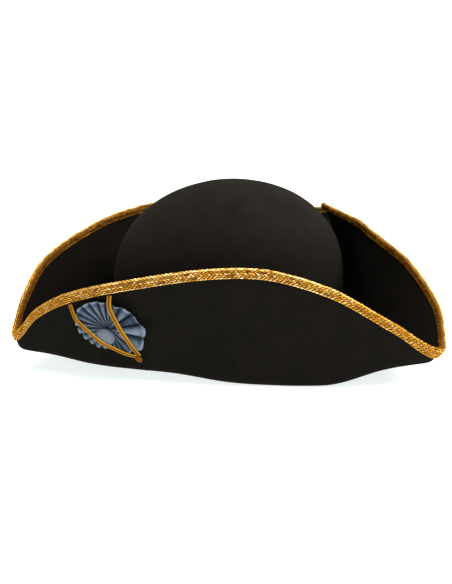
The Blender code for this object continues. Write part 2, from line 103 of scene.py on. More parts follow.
class Bench:
    """One new material and its node tree."""

    def __init__(self, name: str) -> None:
        """Starts a material with a Principled shader.

        Args:
            name: The material's name.
        """
        self.material = bpy.data.materials.new(name)
        self.material.use_nodes = True
        self.tree = self.material.node_tree
        self.shader = self.tree.nodes["Principled BSDF"]

    def node(
        self,
        kind: str,
        settings: dict[str, object] | None = None,
        inputs: dict[str | int, object] | None = None,
        output: str | int = 0,
    ) -> Wire:
        """Adds a node of any type.

        Args:
            kind: The node's type.
            settings: Properties that are set first, with a ramp's stops under "stops".
            inputs: Values or wires for its sockets, by name or number.
            output: The socket that is handed back.

        Returns:
            The chosen output.
        """
        made = self.tree.nodes.new(kind)
        for name, value in (settings or {}).items():
            if name == "stops":
                self._set_stops(made.color_ramp, value)
            else:
                setattr(made, name, value)
        for key, value in (inputs or {}).items():
            self.feed(made.inputs[key], value)
        return Wire(self, made.outputs[output])

    @staticmethod
    def _set_stops(ramp: bpy.types.ColorRamp, stops: Sequence[tuple[float, Colour]]) -> None:
        """Gives a ramp its places and colours.

        Args:
            ramp: The ramp of a Color Ramp node.
            stops: A place from 0 to 1 and a colour for each stop.
        """
        while len(ramp.elements) < len(stops):
            ramp.elements.new(0.5)
        for element, (place, colour) in zip(ramp.elements, stops):
            element.position = place
            element.color = (*colour, 1.0)

    def feed(self, socket: bpy.types.NodeSocket, value: object) -> None:
        """Links a wire to a socket, or sets the socket's own value.

        Args:
            socket: The socket that is fed.
            value: A wire, a number, a string, or the three parts of a colour.
        """
        if isinstance(value, Wire):
            self.tree.links.new(value.socket, socket)
        elif isinstance(value, tuple) and socket.type == "RGBA":
            socket.default_value = (*value, 1.0)
        else:
            socket.default_value = value

    def dress(self, sockets: dict[str, object]) -> bpy.types.Material:
        """Feeds the Principled shader.

        Args:
            sockets: Values or wires by the sockets' names.

        Returns:
            The material.
        """
        for name, value in sockets.items():
            self.feed(self.shader.inputs[name], value)
        return self.material

    def place(self) -> Wire:
        """The point on the object, in metres."""
        return self.node("ShaderNodeTexCoord", output="Object")

    def noise(self, place: Wire, scale: float, detail: float = 3.0, roughness: float = 0.5) -> Wire:
        """A noise from 0 to 1 with about this many lumps a metre."""
        sockets = {"Vector": place, "Scale": scale, "Detail": detail, "Roughness": roughness}
        return self.node("ShaderNodeTexNoise", None, sockets)

    def attribute(self, name: str) -> Wire:
        """The number that each vertex carries under a name."""
        return self.node("ShaderNodeAttribute", {"attribute_name": name}, None, "Fac")

    def uv_parts(self) -> tuple[Wire, Wire]:
        """Splits the piece's own UV map.

        Returns:
            Its first and its second part.
        """
        uv = self.node("ShaderNodeTexCoord", output="UV")
        split = self.node("ShaderNodeSeparateXYZ", None, {"Vector": uv})
        return split, Wire(self, split.socket.node.outputs[1])

    def ramp(self, value: Wire, *stops: tuple[float, Colour]) -> Wire:
        """A colour that follows a value from 0 to 1."""
        return self.node("ShaderNodeValToRGB", {"stops": stops}, {0: value})

    def bump(self, height: Wire, strength: float, distance: float) -> Wire:
        """A normal bent by a height."""
        sockets = {"Height": height, "Strength": strength, "Distance": distance}
        return self.node("ShaderNodeBump", None, sockets)


# Finishes


@dataclass(frozen=True)
class FeltFinish:
    """Matt black wool felt with a short nap."""

    deep: Colour = (0.0048, 0.0040, 0.0028)
    brushed: Colour = (0.0100, 0.0080, 0.0058)
    nap: float = 1400.0
    mottle: float = 60.0
    drift: float = 9.0
    roughness: float = 0.92
    sheen: float = 0.012
    sheen_tint: Colour = (0.60, 0.46, 0.38)
    relief: float = 0.6 * MM

    def make(self) -> bpy.types.Material:
        """Returns the material."""
        bench = Bench("black_wool_felt")
        place = bench.place()
        nap = bench.noise(place, self.nap, 4.0, 0.65)
        mottle = bench.noise(place, self.mottle, 4.0, 0.6)
        drift = bench.noise(place, self.drift, 2.0)
        shade = nap * 0.35 + mottle * 0.35 + drift * 0.3
        colour = bench.ramp(shade, (0.36, self.deep), (0.66, self.brushed))
        height = nap * 0.6 + mottle * 0.4
        return bench.dress({
            "Base Color": colour,
            "Roughness": self.roughness - nap * 0.12,
            "Specular IOR Level": 0.04,
            "Sheen Weight": self.sheen,
            "Sheen Roughness": 0.6,
            "Sheen Tint": self.sheen_tint,
            "Normal": bench.bump(height, 0.55, self.relief),
        })


@dataclass(frozen=True)
class ThreadFinish:
    """Gold metallic thread whose tint changes from stitch to stitch."""

    name: str
    deep: Colour
    middle: Colour
    pale: Colour
    metallic: float = 0.78
    roughness: float = 0.30
    strands: int = 5
    grain: float = 2600.0
    highlight: Colour = (1.0, 0.66, 0.16)
    relief: float = 0.12 * MM

    def make(self) -> bpy.types.Material:
        """Returns the material."""
        bench = Bench(self.name)
        tint = bench.attribute("tint")
        around, _ = bench.uv_parts()
        strand = (around * (2 * math.pi * self.strands)).wave() * 0.5 + 0.5
        fine = bench.noise(bench.place(), self.grain, 2.0)
        # The strand term also paints the grooves between the thread's strands darker, a painted shade beside
        # their bump.
        shade = tint * 0.82 + strand * 0.10 + fine * 0.10
        colour = bench.ramp(shade, (0.10, self.deep), (0.50, self.middle), (0.92, self.pale))
        return bench.dress({
            "Base Color": colour,
            "Metallic": self.metallic,
            "Specular IOR Level": 0.2,
            "Specular Tint": self.highlight,
            "Roughness": self.roughness + fine * 0.15,
            "Normal": bench.bump(strand, 0.45, self.relief),
        })


@dataclass(frozen=True)
class GroundFinish:
    """The dull woven ground between the braid's stitches."""

    name: str
    dark: Colour
    light: Colour
    weave: float = 2200.0
    relief: float = 0.3 * MM

    def make(self) -> bpy.types.Material:
        """Returns the material."""
        bench = Bench(self.name)
        weave = bench.noise(bench.place(), self.weave, 3.0)
        colour = bench.ramp(weave, (0.35, self.dark), (0.70, self.light))
        return bench.dress({
            "Base Color": colour,
            "Metallic": 0.35,
            "Roughness": 0.55,
            "Normal": bench.bump(weave, 0.5, self.relief),
        })


@dataclass(frozen=True)
class RibbonFinish:
    """Fine ribbed silk ribbon, painted lighter along its free edge: its colour follows the painted light and
    shade stored in its 'fold' attribute.
    """

    name: str
    shadow: Colour
    body: Colour
    light: Colour
    ribs_across: float = 90.0
    ribs_along: float = 520.0
    clouds: float = 240.0
    grain: float = 1500.0
    relief: float = 0.22 * MM

    def make(self) -> bpy.types.Material:
        """Returns the material."""
        bench = Bench(self.name)
        along, across = bench.uv_parts()
        warp = (along * (2 * math.pi * self.ribs_along)).wave()
        weft = (across * (2 * math.pi * self.ribs_across)).wave()
        place = bench.place()
        cloudy = bench.noise(place, self.clouds, 4.0, 0.6)
        fine = bench.noise(place, self.grain, 3.0)
        # The painted light and shade of each piece.
        fold = bench.attribute("fold")
        shade = fold * 0.62 + cloudy * 0.26 + fine * 0.16
        colour = bench.ramp(shade, (0.18, self.shadow), (0.55, self.body), (0.95, self.light))
        return bench.dress({
            "Base Color": colour,
            "Roughness": 0.50 + fine * 0.2,
            "Specular IOR Level": 0.22,
            "Sheen Weight": 0.08,
            "Sheen Roughness": 0.4,
            "Normal": bench.bump(warp * 0.4 + weft * 0.4 + fine, 0.35, self.relief),
        })


@dataclass(frozen=True)
class SoutacheFinish:
    """Flat plaited cord: two gold ridges with a groove between them, painted darker in the groove and paler
    towards the edges as painted shade and highlight.
    """

    name: str
    groove: Colour
    ridge: Colour
    shine: Colour
    stitches: float
    slant: float = 9.0
    grain: float = 2600.0
    highlight: Colour = (1.0, 0.70, 0.22)
    relief: float = 0.22 * MM

    def make(self) -> bpy.types.Material:
        """Returns the material."""
        bench = Bench(self.name)
        along, _ = bench.uv_parts()
        offset = bench.attribute("aside")
        plait = (along * (2 * math.pi * self.stitches) + offset.size() * self.slant).wave() * 0.5 + 0.5
        fine = bench.noise(bench.place(), self.grain, 2.0)
        # Painted shade and highlight across the cord: dark in the groove, pale towards the edges.
        shade = offset.size() * 1.15 + plait * 0.10 + fine * 0.14 - 0.08
        colour = bench.ramp(shade, (0.16, self.groove), (0.50, self.ridge), (0.95, self.shine))
        return bench.dress({
            "Base Color": colour,
            "Metallic": 0.45,
            "Specular IOR Level": 0.25,
            "Specular Tint": self.highlight,
            "Roughness": 0.36 + fine * 0.15,
            "Normal": bench.bump(plait + fine * 0.4, 0.5, self.relief),
        })


FELT = FeltFinish()
GOLD = ThreadFinish(
    "gold_thread",
    deep=(0.12, 0.030, 0.006),
    middle=(0.66, 0.285, 0.003),
    pale=(1.0, 0.76, 0.32),
    metallic=0.86,
)
# A darker copy of the gold for the braid's inside rows: painted shade for the inside of the far flaps, which
# lies in shadow.
SHADED_GOLD = ThreadFinish(
    "gold_thread_inside_shaded",
    deep=(0.060, 0.017, 0.001),
    middle=(0.220, 0.078, 0.002),
    pale=(0.50, 0.25, 0.015),
    metallic=0.7,
    roughness=0.45,
)
GROUND = GroundFinish("braid_ground", dark=(0.030, 0.010, 0.008), light=(0.14, 0.050, 0.010))
SILK = RibbonFinish(
    "cockade_silk",
    shadow=(0.008, 0.013, 0.036),
    body=(0.062, 0.090, 0.135),
    light=(0.235, 0.280, 0.335),
)
BUTTON_CLOTH = RibbonFinish(
    "button_cloth",
    shadow=(0.06, 0.068, 0.09),
    body=(0.115, 0.128, 0.16),
    light=(0.19, 0.205, 0.245),
    ribs_across=24,
    ribs_along=24,
)
CORD = SoutacheFinish(
    "loop_soutache",
    groove=(0.15, 0.042, 0.002),
    ridge=(0.28, 0.108, 0.004),
    shine=(0.50, 0.27, 0.02),
    stitches=42,
)
DULL_CORD = SoutacheFinish(
    "knot_soutache",
    groove=(0.04, 0.010, 0.002),
    ridge=(0.11, 0.034, 0.003),
    shine=(0.22, 0.08, 0.007),
    stitches=8,
)


# Mesh work


def mesh_points(piece: bpy.types.Object) -> np.ndarray:
    """Reads a mesh's vertices.

    Args:
        piece: A mesh object.

    Returns:
        One row of coordinates each.
    """
    flat = np.empty(3 * len(piece.data.vertices))
    piece.data.vertices.foreach_get("co", flat)
    return flat.reshape(-1, 3)


def move_points(piece: bpy.types.Object, points: np.ndarray) -> None:
    """Puts a mesh's vertices at new places."""
    piece.data.vertices.foreach_set("co", np.asarray(points, dtype=np.float32).ravel())
    piece.data.update()


def select_only(piece: bpy.types.Object) -> None:
    """Makes one object the only selected one, and the active one.

    Args:
        piece: The object.
    """
    bpy.ops.object.select_all(action="DESELECT")
    piece.select_set(True)
    bpy.context.view_layer.objects.active = piece


def edit_all(piece: bpy.types.Object, *steps: Callable[[], object]) -> None:
    """Runs edit-mode operators on a whole mesh.

    Args:
        piece: The mesh object.
        steps: Functions that call one operator each, run in order with all selected.
    """
    select_only(piece)
    bpy.ops.object.mode_set(mode="EDIT")
    bpy.ops.mesh.select_all(action="SELECT")
    for step in steps:
        step()
    bpy.ops.object.mode_set(mode="OBJECT")


def merge(distance: float) -> Callable[[], object]:
    """The step that merges points closer together than a distance."""
    return lambda: bpy.ops.mesh.remove_doubles(threshold=distance)


def face_outwards() -> object:
    """The step that turns all normals to the outside."""
    return bpy.ops.mesh.normals_make_consistent(inside=False)


def close_holes() -> object:
    """The step that closes every open end with a face."""
    return bpy.ops.mesh.fill_holes(sides=0)


def add_modifier(piece: bpy.types.Object, kind: str, **settings: object) -> None:
    """Adds a modifier to a piece and applies it.

    Args:
        piece: The mesh object.
        kind: The modifier's type.
        settings: Its properties by name.
    """
    select_only(piece)
    modifier = piece.modifiers.new(kind.lower(), kind)
    for name, value in settings.items():
        setattr(modifier, name, value)
    bpy.ops.object.modifier_apply(modifier=modifier.name)


def named(name: str) -> bpy.types.Object:
    """Names the primitive that was just added.

    Args:
        name: The name of the object and of its mesh.

    Returns:
        The object.
    """
    piece = bpy.context.active_object
    piece.name = name
    piece.data.name = name
    return piece


def add_grid(name: str, columns: int, rows: int) -> bpy.types.Object:
    """Adds a flat square from 0 to 1 both ways.

    Args:
        name: The piece's name.
        columns: The number of faces along X.
        rows: The number of faces along Y.

    Returns:
        The square, ready to be laid over a surface.
    """
    bpy.ops.object.select_all(action="DESELECT")
    bpy.ops.mesh.primitive_grid_add(x_subdivisions=columns, y_subdivisions=rows, size=1.0)
    piece = named(name)
    move_points(piece, mesh_points(piece) + np.array([0.5, 0.5, 0.0]))
    return piece


def add_ball(name: str, segments: int, rings: int, radius: float = 1.0) -> bpy.types.Object:
    """Adds a ball round the origin.

    Args:
        name: The piece's name.
        segments: The number of faces round it.
        rings: The number of faces from pole to pole.
        radius: Its radius.

    Returns:
        The ball, ready to be shaped.
    """
    bpy.ops.object.select_all(action="DESELECT")
    bpy.ops.mesh.primitive_uv_sphere_add(segments=segments, ring_count=rings, radius=radius)
    return named(name)


def set_attribute(piece: bpy.types.Object, name: str, values: np.ndarray) -> None:
    """Stores one number for each vertex."""
    attribute = piece.data.attributes.new(name, "FLOAT", "POINT")
    attribute.data.foreach_set("value", np.asarray(values, dtype=np.float32))


def finish_piece(
    piece: bpy.types.Object, material: bpy.types.Material, replaced: Sequence[str] = ()
) -> bpy.types.Object:
    """Gives a piece its material and its body, and hides the CAD nodes that it stands for.

    Args:
        piece: The finished mesh.
        material: Its material.
        replaced: The CAD nodes that it replaces.

    Returns:
        The piece.
    """
    piece.data.materials.clear()
    piece.data.materials.append(material)
    select_only(piece)
    bpy.ops.object.shade_smooth()
    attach(piece, BODY)
    if replaced:
        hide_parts(*replaced)
    piece.data.calc_loop_triangles()
    log.info("%s: %d triangles", piece.name, len(piece.data.loop_triangles))
    return piece


def smooth_curve(points: np.ndarray, count: int) -> np.ndarray:
    """Draws a smooth curve through chosen points.

    Args:
        points: The chosen points, one row each.
        count: How many points are read off the curve.

    Returns:
        The points on the curve, the same number between each two chosen ones.
    """
    before, after = 2 * points[0] - points[1], 2 * points[-1] - points[-2]
    p = np.concatenate([[before], points, [after]])
    place = np.linspace(0, len(points) - 1, count)
    n = np.minimum(place.astype(int), len(points) - 2)
    t = (place - n)[:, None]
    a, b, c, d = p[n], p[n + 1], p[n + 2], p[n + 3]
    return b + 0.5 * t * (c - a + t * (2 * a - 5 * b + 4 * c - d + t * (3 * (b - c) + d - a)))


def unit(vectors: np.ndarray) -> np.ndarray:
    """Vectors of length one."""
    return vectors / np.maximum(np.linalg.norm(vectors, axis=-1, keepdims=True), 1e-12)


def turned(long: np.ndarray, short: np.ndarray, degrees: float) -> np.ndarray:
    """Turns points in a plane.

    Args:
        long: Their first coordinates.
        short: Their second coordinates.
        degrees: The angle.

    Returns:
        The turned points, one row each.
    """
    cos, sin = math.cos(math.radians(degrees)), math.sin(math.radians(degrees))
    return np.stack([long * cos - short * sin, long * sin + short * cos], axis=1)


# Felt


@dataclass
class FeltBody:
    """Crown and brim: the CAD felt made smooth, with the faint unevenness of steamed wool."""

    node: str = "felt_hat"
    levels: int = 2
    unevenness: float = 0.7 * MM
    lumps: float = 45 * MM
    quad_fold: float = 1.2
    quad_skew: float = 3.0

    def _to_quads(self) -> object:
        """The step that joins the CAD's triangles two by two."""
        return bpy.ops.mesh.tris_convert_to_quads(
            face_threshold=self.quad_fold, shape_threshold=self.quad_skew
        )

    def build(self) -> bpy.types.Object:
        """Returns the finished felt."""
        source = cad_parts[self.node]
        felt = source.copy()
        felt.data = source.data.copy()
        felt.name = "felt"
        bpy.context.scene.collection.objects.link(felt)
        edit_all(felt, merge(WELD), self._to_quads)
        add_modifier(felt, "SUBSURF", levels=self.levels, render_levels=self.levels)
        clouds = bpy.data.textures.new("steamed_felt", "CLOUDS")
        clouds.noise_scale = self.lumps
        add_modifier(
            felt, "DISPLACE", texture=clouds, strength=self.unevenness, texture_coords="LOCAL", mid_level=0.5
        )
        points = mesh_points(felt)
        points[:, 2] = np.maximum(points[:, 2], 0.0)
        move_points(felt, points)
        return finish_piece(felt, FELT.make(), [self.node])


# Braid


@dataclass
class Rim:
    """The braid's folded section all the way round the brim, read from its CAD node."""

    node: str = "edge_braid"
    corners: np.ndarray = field(init=False)
    knots: np.ndarray = field(init=False)
    slopes: np.ndarray = field(init=False)

    def __post_init__(self) -> None:
        """Reads the sections and prepares a smooth closed curve through each corner."""
        self.corners = self._read_sections()
        edge = self.corners[:, 1:3].mean(axis=1)
        steps = np.linalg.norm(np.roll(edge, -1, axis=0) - edge, axis=1)
        self.knots = np.concatenate([[0.0], np.cumsum(steps)])
        after = steps[:, None, None]
        before = np.roll(steps, 1)[:, None, None]
        ahead = (np.roll(self.corners, -1, axis=0) - self.corners) / after
        behind = np.roll(ahead, 1, axis=0)
        self.slopes = (ahead * before + behind * after) / (before + after)

    def _read_sections(self) -> np.ndarray:
        """The braid's sections in order round the brim, each with its corners in order.

        Returns:
            Sections, corners and coordinates: the first four corners run up the outside
            and down the inside of the fold.
        """
        model = bmesh.new()
        model.from_mesh(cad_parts[self.node].data)
        bmesh.ops.remove_doubles(model, verts=model.verts, dist=WELD)
        front = min(v.co.x for v in model.verts)
        start = [v for v in model.verts if abs(v.co.y) < WELD and v.co.x < 0.6 * front]
        # The outside's lower corner is the lowest one, and the front one of two at that height.
        low = min(start, key=lambda v: v.co.x + 10 * v.co.z)
        section = self._in_order(start, low)
        if section[1].co.z < section[-1].co.z:
            section = [section[0]] + section[:0:-1]
        sections = [section]
        seen = set(section)
        while True:
            nearby = {e.other_vert(v) for v in sections[-1] for e in v.link_edges} - seen
            if len(sections) == 1:
                nearby = {v for v in nearby if v.co.y < 0}
            if not nearby:
                break
            ring = self._in_order(list(nearby), min(nearby, key=lambda v: v.index))
            sections.append(self._aligned(ring, sections[-1]))
            seen |= nearby
        read = np.array([[v.co for v in section] for section in sections])
        model.free()
        return read

    @staticmethod
    def _in_order(ring: list[bmesh.types.BMVert], start: bmesh.types.BMVert) -> list[bmesh.types.BMVert]:
        """Sorts one section's corners.

        Args:
            ring: The corners in any order.
            start: The one that comes first.

        Returns:
            The corners, each next to the one before it.
        """
        inside = set(ring)
        line = [start]
        while len(line) < len(ring):
            near = [e.other_vert(line[-1]) for e in line[-1].link_edges]
            line.append(next(v for v in near if v in inside and v not in line))
        return line

    @staticmethod
    def _aligned(ring: list[bmesh.types.BMVert], last: list[bmesh.types.BMVert]) -> list[bmesh.types.BMVert]:
        """Turns a section so that its corners meet those of the last one.

        Args:
            ring: The section's corners in order, from any start and either way round.
            last: The corners of the section before it.

        Returns:
            The same corners in the last section's order.
        """
        turns = [way[n:] + way[:n] for way in (ring, ring[::-1]) for n in range(len(ring))]
        return min(turns, key=lambda turn: sum((a.co - b.co).length for a, b in zip(turn, last)))

    def tips(self) -> np.ndarray:
        """Finds the hat's three tips, the ends farthest from the crown.

        Returns:
            Their places along the edge, in metres from the front tip.
        """
        edge = self.corners[:, 1:3].mean(axis=1)
        outward = edge[:, 0] + 2 * np.abs(edge[:, 1])
        rear = [np.where(side * edge[:, 1] > 0, outward, -1.0).argmax() for side in (-1, 1)]
        return np.array([0.0, *self.knots[rear]])

    @property
    def length(self) -> float:
        """The whole way round the edge."""
        return float(self.knots[-1])

    def section_at(self, along: np.ndarray) -> np.ndarray:
        """Reads the braid's section anywhere round the brim.

        Args:
            along: Places along the edge, in metres from the front tip.

        Returns:
            The corners of the section at each place.
        """
        along = np.mod(along, self.length)
        n = np.clip(np.searchsorted(self.knots, along, side="right") - 1, 0, len(self.corners) - 1)
        after = (n + 1) % len(self.corners)
        gap = self.knots[n + 1] - self.knots[n]
        t = ((along - self.knots[n]) / gap)[:, None, None]
        h = gap[:, None, None]
        start, end = self.corners[n], self.corners[after]
        leave, arrive = self.slopes[n] * h, self.slopes[after] * h
        return (
            start * (2 * t**3 - 3 * t**2 + 1)
            + leave * (t**3 - 2 * t**2 + t)
            + end * (3 * t**2 - 2 * t**3)
            + arrive * (t**3 - t**2)
        )

    def lay(self, along: np.ndarray, across: np.ndarray, lift: np.ndarray) -> np.ndarray:
        """Folds flat braid over the edge.

        Args:
            along: Places along the edge, in metres from the front tip.
            across: From the outside's lower edge, up, over the rim and down the inside.
            lift: Off the braid's face.

        Returns:
            The points in space.
        """
        low, top, top_in, low_in = np.moveaxis(self.section_at(along)[:, :4], 1, 0)
        thick = np.linalg.norm(top_in - top, axis=1, keepdims=True)
        inward = unit(top_in - top)
        radius = thick / 2
        up = unit(top - low)
        up_in = unit(top_in - low_in)
        outside = np.linalg.norm(top - low, axis=1, keepdims=True) - radius
        across = across[:, None]
        lift = lift[:, None]
        turn = np.clip((across - outside) / radius, 0.0, math.pi)
        climb = unit(up * (1 - turn / math.pi) + up_in * (turn / math.pi))
        centre = (top + top_in) / 2 - climb * radius
        arc = centre + (-inward * np.cos(turn) + climb * np.sin(turn)) * (radius + lift)
        below = np.maximum(outside - across, 0.0)
        beyond = np.maximum(across - outside - math.pi * radius, 0.0)
        return arc - up * below - up_in * beyond


class Row(NamedTuple):
    """One lengthwise row of stitches: its middle across the braid, and how it is sewn."""

    middle: float
    width: float
    slant: float
    tint: float
    height: float


@dataclass
class EdgeBraid:
    """Gold braid folded over the edge: a woven ground under rows of metallic stitches."""

    rim: Rim
    repeats: int = 372
    seeds: tuple[int, int] = (7, 11)
    ground_cuts: tuple[int, int] = (720, 18)
    ground_depth: float = 0.30 * MM
    ground_thick: float = 0.55 * MM
    overlap: float = 1.12
    fullness: float = 0.86
    sink: float = 0.15 * MM
    shake_along: float = 0.12 * MM
    shake_across: float = 0.06 * MM
    shake_height: float = 0.14
    tint_spread: float = 0.21
    # Painted shade near the tips: how far it reaches, how softly it fades, the tint it pulls towards, how
    # strongly, and how much it calms the spread.
    tip_reach: float = 92 * MM
    tip_fade: float = 0.15
    tip_shade_tint: float = 0.50
    tip_pull: float = 0.88
    tip_calm: float = 0.55
    outer_rows: tuple[Row, ...] = (
        Row(0.75 * MM, 1.35 * MM, 9.0, 0.72, 1.1 * MM),
        Row(2.40 * MM, 1.50 * MM, 24.0, 0.44, 1.0 * MM),
        Row(4.20 * MM, 1.50 * MM, -24.0, 0.52, 1.0 * MM),
        Row(6.00 * MM, 1.50 * MM, 24.0, 0.44, 1.0 * MM),
        Row(7.80 * MM, 1.65 * MM, -14.0, 0.82, 1.1 * MM),
        Row(9.65 * MM, 1.65 * MM, 14.0, 0.74, 1.1 * MM),
    )
    inner_rows: tuple[Row, ...] = (
        Row(11.50 * MM, 1.60 * MM, -22.0, 0.60, 1.0 * MM),
        Row(13.35 * MM, 1.60 * MM, 30.0, 0.42, 0.9 * MM),
        Row(15.20 * MM, 1.50 * MM, -30.0, 0.44, 0.9 * MM),
        Row(16.60 * MM, 1.10 * MM, 9.0, 0.52, 0.9 * MM),
    )

    def _ground(self) -> bpy.types.Object:
        """Returns the woven strip under the stitches."""
        width = self.inner_rows[-1].middle + self.inner_rows[-1].width / 2
        strip = add_grid("braid_ground", *self.ground_cuts)
        along, across, _ = mesh_points(strip).T
        depth = np.full_like(along, -self.ground_depth)
        move_points(strip, self.rim.lay(along * self.rim.length, across * width, depth))
        edit_all(strip, merge(WELD), face_outwards)
        add_modifier(strip, "SOLIDIFY", thickness=self.ground_thick, offset=-1.0)
        return finish_piece(strip, GROUND.make())

    def _flat_row(self, row: Row, pitch: float) -> bpy.types.Object:
        """Sews a straight row of stitches, one stitch repeated by an array.

        Args:
            row: How the row is sewn.
            pitch: The way from one stitch to the next.

        Returns:
            The row along X, flat, with its height along Z.
        """
        stitch = add_ball("stitch", 6, 6, 0.5)
        length = pitch * self.overlap
        turn = Matrix.Rotation(math.radians(row.slant), 4, "Z")
        shape = turn @ Matrix.Diagonal((length, row.width * self.fullness, row.height, 1.0))
        lengthwise = Matrix.Rotation(math.pi / 2, 4, "Y")
        stitch.data.transform(Matrix.Translation((0, row.middle, 0)) @ shape @ lengthwise)
        add_modifier(
            stitch, "ARRAY", count=self.repeats, use_relative_offset=False,
            use_constant_offset=True, constant_offset_displace=(pitch, 0, 0),
        )
        return stitch

    def _near_tips(self, along: np.ndarray) -> np.ndarray:
        """Finds the braid near the hat's three tips, where the stitches' tints are painted plainer and less
        pale, a painted shade for the softer light and blur there.

        Args:
            along: Places along the edge.

        Returns:
            A share for each place, from 0 far from every tip to 1 near one.
        """
        half = self.rim.length / 2
        tips = self.rim.tips()[:, None, None]
        apart = np.abs(np.mod(along - tips + half, self.rim.length) - half).min(axis=0)
        return 1 / (1 + np.exp((apart - self.tip_reach) / (self.tip_fade * self.tip_reach)))

    def _stitches(self, name: str, rows: Sequence[Row], seed: int) -> bpy.types.Object:
        """Sews several rows in one mesh and folds them over the edge.

        Args:
            name: The piece's name.
            rows: How each row is sewn.
            seed: What the stitches' unevenness is drawn from.

        Returns:
            The stitches, without a material.
        """
        pitch = self.rim.length / self.repeats
        chance = np.random.default_rng(seed)
        flat = [self._flat_row(row, pitch) for row in rows]
        for shifted in flat[1::2]:
            move_points(shifted, mesh_points(shifted) + [pitch / 2, 0, 0])
        tints = []
        for row, piece in zip(rows, flat):
            points = mesh_points(piece).reshape(self.repeats, -1, 3)
            shape = (self.repeats, 1)
            points[:, :, 0] += chance.normal(0, self.shake_along, shape)
            points[:, :, 1] += chance.normal(0, self.shake_across, shape)
            points[:, :, 2] *= chance.uniform(1 - self.shake_height, 1 + self.shake_height, shape)
            move_points(piece, points.reshape(-1, 3) - [0, 0, self.sink])
            middles = points[:, :, 0].mean(axis=1, keepdims=True)
            # Painted shade: near the tips each row's tint is pulled towards a plain amber and its random
            # spread is calmed.
            near = self._near_tips(middles)
            plain = row.tint + (self.tip_shade_tint - row.tint) * self.tip_pull * near
            spread = chance.normal(0, self.tint_spread, shape) * (1 - self.tip_calm * near)
            shades = np.clip(plain + spread, 0.02, 1.0)
            tints.append(np.broadcast_to(shades, points.shape[:2]).ravel())
        for piece in flat:
            piece.select_set(True)
        bpy.context.view_layer.objects.active = flat[0]
        bpy.ops.object.join()
        braid = named(name)
        set_attribute(braid, "tint", np.concatenate(tints))
        along, across, lift = mesh_points(braid).T
        move_points(braid, self.rim.lay(along, across, lift))
        return braid

    def build(self) -> list[bpy.types.Object]:
        """Returns the ground, the outside stitches and the inside stitches."""
        ground = self._ground()
        outside = self._stitches("braid_outside", self.outer_rows, self.seeds[0])
        finish_piece(outside, GOLD.make(), ["edge_braid"])
        inside = self._stitches("braid_inside", self.inner_rows, self.seeds[1])
        # The inside rows take the darker gold, a painted shade.
        finish_piece(inside, SHADED_GOLD.make())
        return [ground, outside, inside]


# Cockade


@dataclass
class Flap:
    """The left flap round the cockade: its plane's directions and its felt."""

    felt: bpy.types.Object
    node: str = "cockade_ribbon"
    turn: float = -22.0
    clear: float = 50 * MM
    centre: np.ndarray = field(init=False)
    out: np.ndarray = field(init=False)
    along: np.ndarray = field(init=False)
    up: np.ndarray = field(init=False)
    tree: BVHTree = field(init=False)
    reach: tuple[float, float] = field(init=False)

    def __post_init__(self) -> None:
        """Reads the cockade's plane and size from its CAD node."""
        points = mesh_points(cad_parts[self.node])
        middle = points.mean(axis=0)
        out = np.linalg.svd(points - middle, full_matrices=False)[2][2]
        self.out = out if out[1] < 0 else -out
        self.along = unit(np.cross([0, 0, 1], self.out))
        self.up = np.cross(self.out, self.along)
        cos, sin = math.cos(math.radians(self.turn)), math.sin(math.radians(self.turn))
        axes = np.stack([self.along * cos + self.up * sin, self.up * cos - self.along * sin])
        spans = axes @ (points - middle).T
        self.centre = middle + (spans.min(axis=1) + spans.max(axis=1)) / 2 @ axes
        self.reach = tuple(np.ptp(spans, axis=1) / 2)
        self.tree = BVHTree.FromObject(self.felt, bpy.context.evaluated_depsgraph_get())

    def place_of(self, point: np.ndarray) -> np.ndarray:
        """How far along and up the flap a point lies from the cockade's centre."""
        return np.array([(point - self.centre) @ self.along, (point - self.centre) @ self.up])

    def off(self, points: np.ndarray) -> np.ndarray:
        """How far points lie off the cockade's plane."""
        return (points - self.centre) @ self.out

    def cast(self, tree: BVHTree, places: np.ndarray) -> np.ndarray:
        """Sends rays from outside straight onto the cockade's plane.

        Args:
            tree: The surface that they may meet.
            places: Where each ray aims, along and up the flap.

        Returns:
            How far off the plane each ray meets it, or not a number where it doesn't.
        """
        found = []
        for along, up in places:
            start = self.centre + self.along * along + self.up * up + self.out * self.clear
            hit = tree.ray_cast(Vector(start), Vector(-self.out))[0]
            found.append(np.nan if hit is None else float(self.off(np.array(hit))))
        return np.array(found)

    def points(self, places: np.ndarray, off: np.ndarray) -> np.ndarray:
        """Points in space from places on the plane and distances off it."""
        return self.centre + places[:, :1] * self.along + places[:, 1:] * self.up + off[:, None] * self.out


class Pleat(NamedTuple):
    """One pleat: its ridge's direction in degrees, its reach, its rise, its lean and its shade."""

    direction: float
    reach: float
    rise: float
    lean: float
    shade: float


class Level(NamedTuple):
    """The heights of the pleats' valleys and ridges at a share of the way to the rim."""

    share: float
    valley: float
    ridge: float


